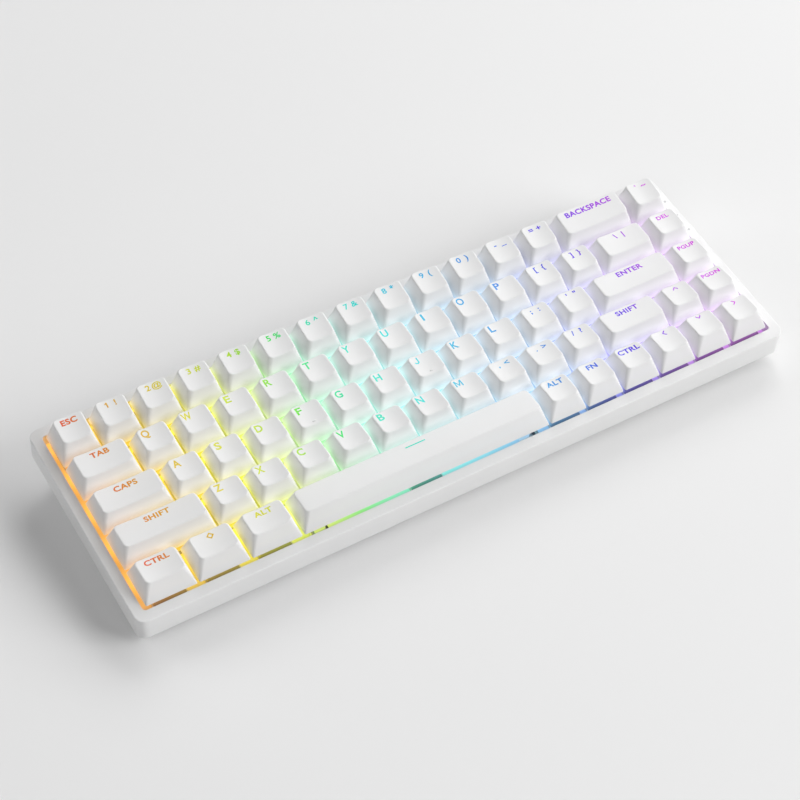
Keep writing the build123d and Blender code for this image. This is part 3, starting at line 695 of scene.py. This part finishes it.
def add_socket(mesh, key, x, crown):
    """The round socket under the cap, open at its foot for the cross."""
    outline = ring_outline(socket_radius)
    inner = ring_outline(socket_radius - socket_wall)
    outer_foot = [mesh.verts.new(key.point(x + px, pv, socket_foot)) for px, pv in outline]
    outer_crown = [mesh.verts.new(key.point(x + px, pv, crown)) for px, pv in outline]
    inner_foot = [mesh.verts.new(key.point(x + px, pv, socket_foot)) for px, pv in inner]
    inner_crown = [mesh.verts.new(key.point(x + px, pv, crown - socket_roof)) for px, pv in inner]
    bridge(mesh, [inner_crown, inner_foot, outer_foot, outer_crown])
    mesh.faces.new(outer_crown)
    mesh.faces.new(reversed(inner_crown))


stem_white = finish_material("stem_white", (0.74, 0.74, 0.72), 0.35, grain_depth=0.1)
for node_name, members in keys_of.items():
    block = bmesh.new()
    for key in members:
        reach = 0 if key.units < 2 else (short_reach if key.units < 3 else long_reach)
        for x in ([0] if reach == 0 else [-reach, 0, reach]):
            length = stem_length if x == 0 else stem_depth * side_stem_share
            outline = rounded_outline(length / 2, stem_depth / 2, stem_corner)
            add_prism(block, key, x, outline, stem_foot, stem_crown)
            add_prism(block, key, x, cross_outline(cross_arm, cross_thickness), stem_crown, cross_crown)
            add_socket(block, key, x, key.plane(0) - cap_roof - key.dish + socket_sink)
    stem = finished_piece("stem_of_" + node_name, block, stem_white, node_name)
    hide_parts(node_name)

# ---------------------------------------------------------------------------------------------
# Return springs. Each is a coil of drawn steel wire that stands on the floor of its switch, in
# the stem's bore, and shortens as its key goes down; here it is built at its full length and
# stays with the case.
# ---------------------------------------------------------------------------------------------
spring_foot = -10.0 * mm
spring_crown = -0.9 * mm
spring_turns = 9
spring_radius = 1.7 * mm
spring_wire_radius = 0.25 * mm
turn_steps = 12


def add_coil(mesh, key):
    """One spring: a round wire wound up from the switch's floor, cut square at both ends."""
    climb = (spring_crown - spring_foot - 2 * spring_wire_radius) / (turn_steps * spring_turns)
    rings = []
    for step in range(turn_steps * spring_turns + 1):
        turn = 2 * math.pi * step / turn_steps
        rings.append([
            mesh.verts.new(key.point(
                (spring_radius + across) * math.cos(turn), (spring_radius + across) * math.sin(turn),
                spring_foot + spring_wire_radius + climb * step + up,
            ))
            for across, up in ring_outline(spring_wire_radius, 6)
        ])
    bridge(mesh, rings)
    mesh.faces.new(rings[0])
    mesh.faces.new(reversed(rings[-1]))


for node_name, members in keys_of.items():
    coils = bmesh.new()
    for key in members:
        add_coil(coils, key)
    spring = finished_piece("springs_of_" + node_name, coils, spring_steel, "case")
    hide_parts("switch_springs")
    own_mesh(spring)

# ---------------------------------------------------------------------------------------------
# Legends. They are moulded in a second, clear shot that fills the letter through the cap's
# roof, so the lamp below shows through; that light is painted on them as their colour and glow.
# They lie flush, with the dish's curve.
# ---------------------------------------------------------------------------------------------
letter_height = 3.6 * mm
letter_width = 3.0 * mm
word_height = 2.5 * mm
small_word_height = 2.0 * mm
sign_height = 2.6 * mm
# how far the outlines are fattened, as a share of the letters' size
letter_weight = 0.026
word_weight = 0.031
sign_weight = 0.02
letter_place = (-3.3 * mm, 4.0 * mm)
sign_gap = 4.0 * mm
sign_line = 4.3 * mm
word_line = 4.2 * mm
arrow_line = 4.9 * mm
stroke = 0.6 * mm
dash_size = (9.5 * mm, 0.55 * mm)
diamond_reaches = (1.7 * mm, 0.9 * mm)
half_thick = 0.5 * mm
legend_rise = 0.03 * mm
legend_sink = 0.4 * mm
slice_width = 0.5 * mm


def lettering(text, height, weight, width=None):
    """Flat solid letters, centred, with x to the right and y up, ready to lay on a cap."""
    capital_share = 0.68
    size = height / capital_share
    curve = bpy.data.curves.new("letters", "FONT")
    curve.body = text
    curve.size = size
    curve.offset = weight * size
    curve.space_character = 1.08
    curve.resolution_u = 4
    curve.extrude = half_thick
    holder = bpy.data.objects.new("letters", curve)
    bpy.context.scene.collection.objects.link(holder)
    data = bpy.data.meshes.new_from_object(holder.evaluated_get(bpy.context.evaluated_depsgraph_get()))
    letters = bmesh.new()
    letters.from_mesh(data)
    bpy.data.objects.remove(holder)
    bpy.data.curves.remove(curve)
    bpy.data.meshes.remove(data)
    bmesh.ops.remove_doubles(letters, verts=letters.verts, dist=1e-7)
    low = min(vertex.co.x for vertex in letters.verts)
    high = max(vertex.co.x for vertex in letters.verts)
    stretch = 1.15 if width is None else 0.45 + 0.55 * min(1.5, width / (high - low))
    bmesh.ops.transform(
        letters, verts=letters.verts,
        matrix=Matrix.Diagonal((stretch, 1, 1, 1)) @ Matrix.Translation((-(low + high) / 2, -height / 2, 0)),
    )
    return letters


def outline_mark(outer, inner=None):
    """A flat solid mark from its outline, with a hole if it is given one."""
    mark = bmesh.new()
    levels = (-half_thick, half_thick)
    low, high = ([mark.verts.new((x, y, level)) for x, y in outer] for level in levels)
    bridge(mark, [low, high])
    if inner is None:
        mark.faces.new(high)
        mark.faces.new(reversed(low))
    else:
        low_in, high_in = ([mark.verts.new((x, y, level)) for x, y in inner] for level in levels)
        bridge(mark, [high, high_in, low_in, low])
    mark.normal_update()
    bmesh.ops.triangulate(mark, faces=[face for face in mark.faces if len(face.verts) > 4])
    return mark


def drawn_mark(mark):
    """The marks that are drawn line by line: an M, a one with its flag, a J and the arrows."""
    s, h, w = stroke, letter_height / 2, letter_width / 2
    if mark == "M":
        w = 0.6 * letter_width
        return outline_mark([
            (-w, -h), (-w + s, -h), (-w + s, 0.4 * h), (-0.35 * s, -0.8 * h), (0.35 * s, -0.8 * h),
            (w - s, 0.4 * h), (w - s, -h), (w, -h), (w, h), (w - 1.2 * s, h), (0, -0.35 * h),
            (-w + 1.2 * s, h), (-w, h),
        ])
    if mark == "J":
        hook = [(math.pi * n / 8, 0.55 * w) for n in range(9)]
        outer = [(-(r + s / 2) * math.cos(a), -0.35 * h - (r + s / 2) * math.sin(a)) for a, r in hook]
        inner = [(-(r - s / 2) * math.cos(a), -0.35 * h - (r - s / 2) * math.sin(a)) for a, r in hook]
        return outline_mark([*outer, (0.55 * w + s / 2, h), (0.55 * w - s / 2, h), *reversed(inner)])
    if mark == "1":
        h = sign_height / 2
        return outline_mark([
            (0, -h), (s, -h), (s, h), (0.3 * s, h),
            (-0.9 * s, 0.55 * h), (-0.9 * s, 0.15 * h), (0, 0.45 * h),
        ])
    turn = "^<v>".index(mark) * math.pi / 2
    reach, rise = 1.25 * mm, 0.65 * mm
    chevron = [
        (-reach, -rise), (-reach, -rise - 1.2 * s), (0, rise - 1.2 * s),
        (reach, -rise - 1.2 * s), (reach, -rise), (0, rise),
    ]
    return outline_mark([
        (x * math.cos(turn) - y * math.sin(turn), x * math.sin(turn) + y * math.cos(turn))
        for x, y in chevron
    ])


def bar_mark(length, width):
    """A dash with round ends."""
    mark = bmesh.new()
    outline = rounded_outline(length / 2, width / 2, 0.45 * width)
    low, high = (
        [mark.verts.new((x, y, level)) for x, y in outline] for level in (-half_thick, half_thick)
    )
    bridge(mark, [low, high])
    mark.faces.new(high)
    mark.faces.new(reversed(low))
    return mark


def lay_on_cap(mark, key, x, v):
    """Bends flat letters to the cap's top, a hair proud of it, and sinks their backs into it."""
    low = min(vertex.co.x for vertex in mark.verts)
    high = max(vertex.co.x for vertex in mark.verts)
    for n in range(1, int((high - low) / slice_width) + 1):
        bmesh.ops.bisect_plane(
            mark, geom=mark.verts[:] + mark.edges[:] + mark.faces[:],
            plane_co=(low + n * slice_width, 0, 0), plane_no=(1, 0, 0),
        )
    for vertex in mark.verts:
        px, pv = x + vertex.co.x, v + vertex.co.y
        lift = legend_rise if vertex.co.z > 0 else -legend_sink
        vertex.co = key.point(px, pv, key.surface(px, pv) + lift)


def add_mesh(target, source):
    """Joins one built mesh into another."""
    data = bpy.data.meshes.new("joined")
    source.to_mesh(data)
    source.free()
    target.from_mesh(data)
    bpy.data.meshes.remove(data)


legend_glow = bpy.data.materials.new("legend_glow")
legend_glow.use_nodes = True
tree = legend_glow.node_tree
skin = tree.nodes["Principled BSDF"]
# painted backlight: the legends take the lamps' rainbow hue, in patches, as base colour and glow
glow = node(tree, "ShaderNodeGroup", node_tree=painted_light_group)
cloud = node(tree, "ShaderNodeTexNoise", {"Scale": 900.0, "Detail": 2.0})
patchy = node(tree, "ShaderNodeMapRange", {"Value": cloud.outputs["Fac"], "To Min": 0.5, "To Max": 0.65})
legend_backlight_colour = node(
    tree, "ShaderNodeVectorMath", {0: glow.outputs["Letter Backlight Hue"], "Scale": patchy.outputs["Result"]},
    operation="SCALE",
)
tree.links.new(legend_backlight_colour.outputs["Vector"], skin.inputs["Base Color"])
tree.links.new(legend_backlight_colour.outputs["Vector"], skin.inputs["Emission Color"])
skin.inputs["Emission Strength"].default_value = 0.3
skin.inputs["Roughness"].default_value = 0.4


def marks_of(key):
    """The marks on a key, each with its place on the cap."""
    text = key.mark
    if text == "SPACE":
        return [(bar_mark(*dash_size), 0.0, word_line)]
    if text == "<>":
        outer, inner = (
            [(reach, 0), (0, reach), (-reach, 0), (0, -reach)] for reach in diamond_reaches
        )
        return [(outline_mark(outer, inner), 0.0, word_line)]
    if " " in text:
        pair = [
            drawn_mark(sign) if sign == "1" else lettering(sign, sign_height, sign_weight)
            for sign in text.split(" ")
        ]
        return [(pair[0], -sign_gap / 2, sign_line), (pair[1], sign_gap / 2, sign_line)]
    if text in ("^", "<", "v", ">"):
        return [(drawn_mark(text), 0.0, arrow_line)]
    if text in ("M", "J"):
        return [(drawn_mark(text), *letter_place)]
    if len(text) == 1:
        return [(lettering(text, letter_height, letter_weight, letter_width), *letter_place)]
    height = small_word_height if text in ("DEL", "PGUP", "PGDN") else word_height
    return [(lettering(text, height, word_weight), 0.0, word_line)]


for node_name, members in keys_of.items():
    legends = bmesh.new()
    for key in members:
        for mark, x, v in marks_of(key):
            lay_on_cap(mark, key, x, v)
            add_mesh(legends, mark)
    finished_piece("legends_of_" + node_name, legends, legend_glow, node_name)

# ---------------------------------------------------------------------------------------------
# Surroundings. The keyboard stands on a plain pale tabletop, under large soft lamps all round
# that are strongest on the right. Far off, the tabletop runs into a background as pale as it is.
# ---------------------------------------------------------------------------------------------
floor_colour = 0.83
floor_reach = 6.0
haze_from = 0.9
haze_to = 2.0
fill_light = 0.01
floor_data = bpy.data.meshes.new("tabletop")
floor_corners = [
    (floor_reach * x, floor_reach * y, 0) for x, y in ((-1, -1), (1, -1), (1, 1), (-1, 1))
]
floor_data.from_pydata(floor_corners, [], [(0, 1, 2, 3)])
tabletop = bpy.data.objects.new("tabletop", floor_data)
bpy.context.scene.collection.objects.link(tabletop)
paper = bpy.data.materials.new("paper_white")
paper.use_nodes = True
tree = paper.node_tree
skin = tree.nodes["Principled BSDF"]
skin.inputs["Base Color"].default_value = (*[floor_colour] * 3, 1)
skin.inputs["Roughness"].default_value = 0.9
floor_data.materials.append(paper)


def background_rays(tree):
    """1 for rays that look at the background, straight or in gloss or glass, 0 for the light itself."""
    path = node(tree, "ShaderNodeLightPath").outputs
    seen = worked_out(tree, "MAXIMUM", path["Is Camera Ray"], path["Is Glossy Ray"])
    return worked_out(tree, "MAXIMUM", seen, path["Is Transmission Ray"])


place = node(tree, "ShaderNodeTexCoord").outputs["Object"]
from_middle = node(tree, "ShaderNodeVectorMath", {0: place}, operation="LENGTH")
far = node(
    tree, "ShaderNodeMapRange",
    {"Value": from_middle.outputs["Value"], "From Min": haze_from, "From Max": haze_to},
    interpolation_type="SMOOTHSTEP",
)
share = worked_out(tree, "MULTIPLY", far.outputs["Result"], background_rays(tree))
haze = node(tree, "ShaderNodeEmission", {"Color": (*[floor_colour] * 3, 1)})
merge = node(
    tree, "ShaderNodeMixShader", {0: share, 1: skin.outputs["BSDF"], 2: haze.outputs["Emission"]},
)
tree.links.new(merge.outputs["Shader"], tree.nodes["Material Output"].inputs["Surface"])

softbox_distance = 2.4
softbox_width = 1.35
# name, way round from the right and height in degrees, watts
softboxes = [
    ("back_right_softbox", 45, 40, 24.6),
    ("front_right_softbox", 312, 31, 38.0),
    ("right_softbox", 0, 36, 15.6),
    ("front_left_softbox", 230, 50, 11.9),
    ("back_left_softbox", 135, 25, 13.6),
]
for name, around, height, power in softboxes:
    lamp = bpy.data.lights.new(name, "AREA")
    lamp.energy = power
    lamp.size = softbox_width
    holder = bpy.data.objects.new(name, lamp)
    around, height = math.radians(around), math.radians(height)
    towards = Vector((
        math.cos(around) * math.cos(height), math.sin(around) * math.cos(height), math.sin(height),
    ))
    holder.location = towards * softbox_distance
    holder.rotation_mode = "QUATERNION"
    holder.rotation_quaternion = towards.to_track_quat("Z", "Y")
    bpy.context.scene.collection.objects.link(holder)

world = bpy.data.worlds.new("studio")
world.use_nodes = True
world.node_tree.nodes["Background"].inputs["Color"].default_value = (1, 1, 1, 1)
strength = ranged(world.node_tree, background_rays(world.node_tree), 0.0, 1.0, fill_light, floor_colour)
world.node_tree.links.new(strength, world.node_tree.nodes["Background"].inputs["Strength"])
bpy.context.scene.world = world

camera_turn = math.radians(-29.80)
camera_height = math.radians(46.79)
camera_roll = math.radians(-0.775)
camera_distance = 0.8955
camera_aim = deck_middle + Vector((-11.85 * mm, -5.8 * mm, 0))
camera_lens = 94.5

back = Vector((
    math.sin(camera_turn) * math.cos(camera_height),
    -math.cos(camera_turn) * math.cos(camera_height),
    math.sin(camera_height),
))
eye = bpy.data.cameras.new("camera")
eye.lens = camera_lens
eye.sensor_width = 36
eye.clip_start = 0.01
camera = bpy.data.objects.new("camera", eye)
camera.location = camera_aim + back * camera_distance
camera.rotation_mode = "QUATERNION"
level = (-back).to_track_quat("-Z", "Y")
camera.rotation_quaternion = level @ Matrix.Rotation(camera_roll, 3, "Z").to_quaternion()
bpy.context.scene.collection.objects.link(camera)
bpy.context.scene.camera = camera
bpy.context.scene.view_settings.view_transform = "Standard"
